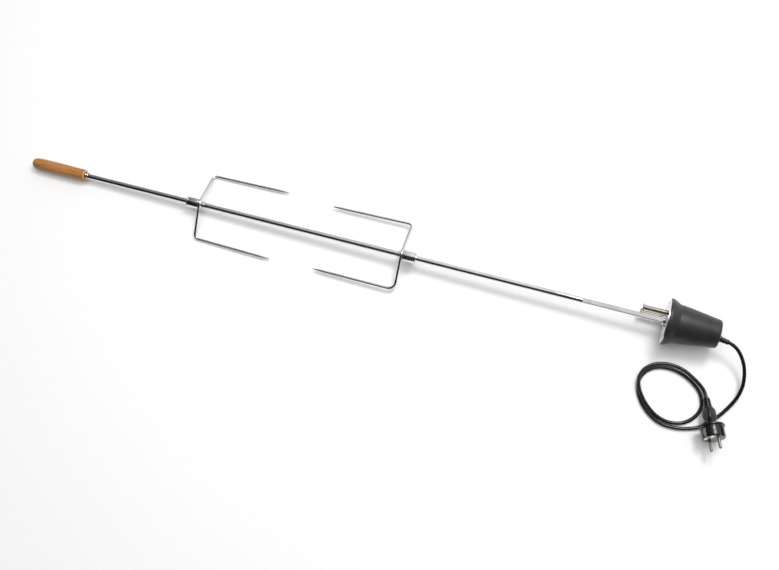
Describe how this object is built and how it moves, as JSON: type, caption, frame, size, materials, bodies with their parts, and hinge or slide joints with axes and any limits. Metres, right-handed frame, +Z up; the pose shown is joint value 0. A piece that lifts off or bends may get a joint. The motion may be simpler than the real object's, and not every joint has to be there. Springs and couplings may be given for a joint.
{
  "type": "rotisserie spit roaster",
  "caption": "Electric rotisserie for a grill: a geared motor with a corded plug turns a long square-ended spit rod with sliding meat forks and a wooden handle.",
  "frame": {"origin": "on the floor, under the middle of the length from the handle to the motor; the cord and its plug are not counted", "axes": "+X along the spit from the handle to the motor, +Z up; the rod rises by 1.33 degrees towards the motor, because it lies on the motor rim and the left fork"},
  "size_m": [1.3159, 0.2487, 0.077],
  "materials": {
    "wood": "varnished turned hardwood, orange brown, satin",
    "chrome": "bright chrome-plated steel",
    "steel": "bright zinc-plated steel",
    "nickel": "warm grey nickel-plated metal",
    "charcoal_plastic": "moulded, fine matt texture",
    "black_vinyl": "glossy black PVC",
    "brass": "machined",
    "nylon": "natural white nylon",
    "magnet": "dark ferrite",
    "copper_winding": "enamelled copper winding"
  },
  "bodies": {
    "motor": {"motor_housing": "charcoal_plastic", "face_plate": "steel", "plate_screw_1": "steel", "plate_screw_2": "steel", "plate_screw_3": "steel", "mounting_stud_1": "nickel", "mounting_stud_2": "nickel", "stud_spacer_1": "steel", "stud_spacer_2": "steel", "stud_nut_1": "steel", "stud_nut_2": "steel", "output_bush": "brass", "gear_front_plate": "steel", "gear_rear_plate": "steel", "frame_post_1": "steel", "frame_post_2": "steel", "frame_post_3": "steel", "first_idler_axle": "steel", "second_idler_axle": "steel", "stator_can": "steel", "stator_coil": "copper_winding", "strain_relief": "black_vinyl", "cord_clamp": "nylon", "cord_clamp_screw_1": "steel", "cord_clamp_screw_2": "steel", "terminal_block": "nylon", "power_cord": "black_vinyl", "plug_boot": "black_vinyl", "plug_body": "black_vinyl", "plug_pin_1": "nickel", "plug_pin_2": "nickel", "plug_earth_clip_1": "nickel", "plug_earth_clip_2": "nickel"},
    "drive": {"drive_socket": "steel", "output_gear": "brass"},
    "first_idler": {"first_idler_gear": "nylon"},
    "second_idler": {"second_idler_gear": "nylon"},
    "rotor": {"motor_rotor": "magnet"},
    "spit": {"spit_rod": "chrome", "handle": "wood", "handle_ferrule": "steel"},
    "left_fork": {"left_fork_collar": "chrome", "left_fork_tines": "chrome"},
    "right_fork": {"right_fork_collar": "chrome", "right_fork_tines": "chrome"},
    "left_screw": {"left_thumbscrew": "steel"},
    "right_screw": {"right_thumbscrew": "steel"}
  },
  "joints": [
    {"name": "spit_turn", "type": "hinge", "parent": "motor", "child": "drive", "pos_m": [0.54385, 0, 0.03849], "axis": [0.9997, 0, 0.0232], "continuous": true},
    {"name": "first_idler_spin", "type": "hinge", "parent": "motor", "child": "first_idler", "pos_m": [0.55885, -0.0161, 0.03884], "axis": [0.9997, 0, 0.0232], "continuous": true},
    {"name": "second_idler_spin", "type": "hinge", "parent": "motor", "child": "second_idler", "pos_m": [0.56356, -0.01027, 0.05146], "axis": [0.9997, 0, 0.0232], "continuous": true},
    {"name": "rotor_spin", "type": "hinge", "parent": "motor", "child": "rotor", "pos_m": [0.58369, 0.00224, 0.04609], "axis": [0.9997, 0, 0.0232], "continuous": true},
    {"name": "spit_pull", "type": "slide", "parent": "drive", "child": "spit", "axis": [-0.9997, 0, -0.0232], "range_m": [0, 0.05]},
    {"name": "left_fork_slide", "type": "slide", "parent": "spit", "child": "left_fork", "axis": [0.9997, 0, 0.0232], "range_m": [-0.19, 0.04]},
    {"name": "right_fork_slide", "type": "slide", "parent": "spit", "child": "right_fork", "axis": [-0.9997, 0, -0.0232], "range_m": [-0.27, 0.04]},
    {"name": "left_screw_turn", "type": "hinge", "parent": "left_fork", "child": "left_screw", "pos_m": [-0.29817, 0, 0.00397], "axis": [0.0232, 0, -0.9997], "range_deg": [0, 720]},
    {"name": "right_screw_turn", "type": "hinge", "parent": "right_fork", "child": "right_screw", "pos_m": [0.10912, 0, 0.01341], "axis": [0.0232, 0, -0.9997], "range_deg": [0, 720]}
  ],
  "couplings": [
    {"joint": "first_idler_spin", "follows": "spit_turn", "ratio": -3.6},
    {"joint": "second_idler_spin", "follows": "spit_turn", "ratio": 12.96},
    {"joint": "rotor_spin", "follows": "spit_turn", "ratio": -46.656}
  ]
}
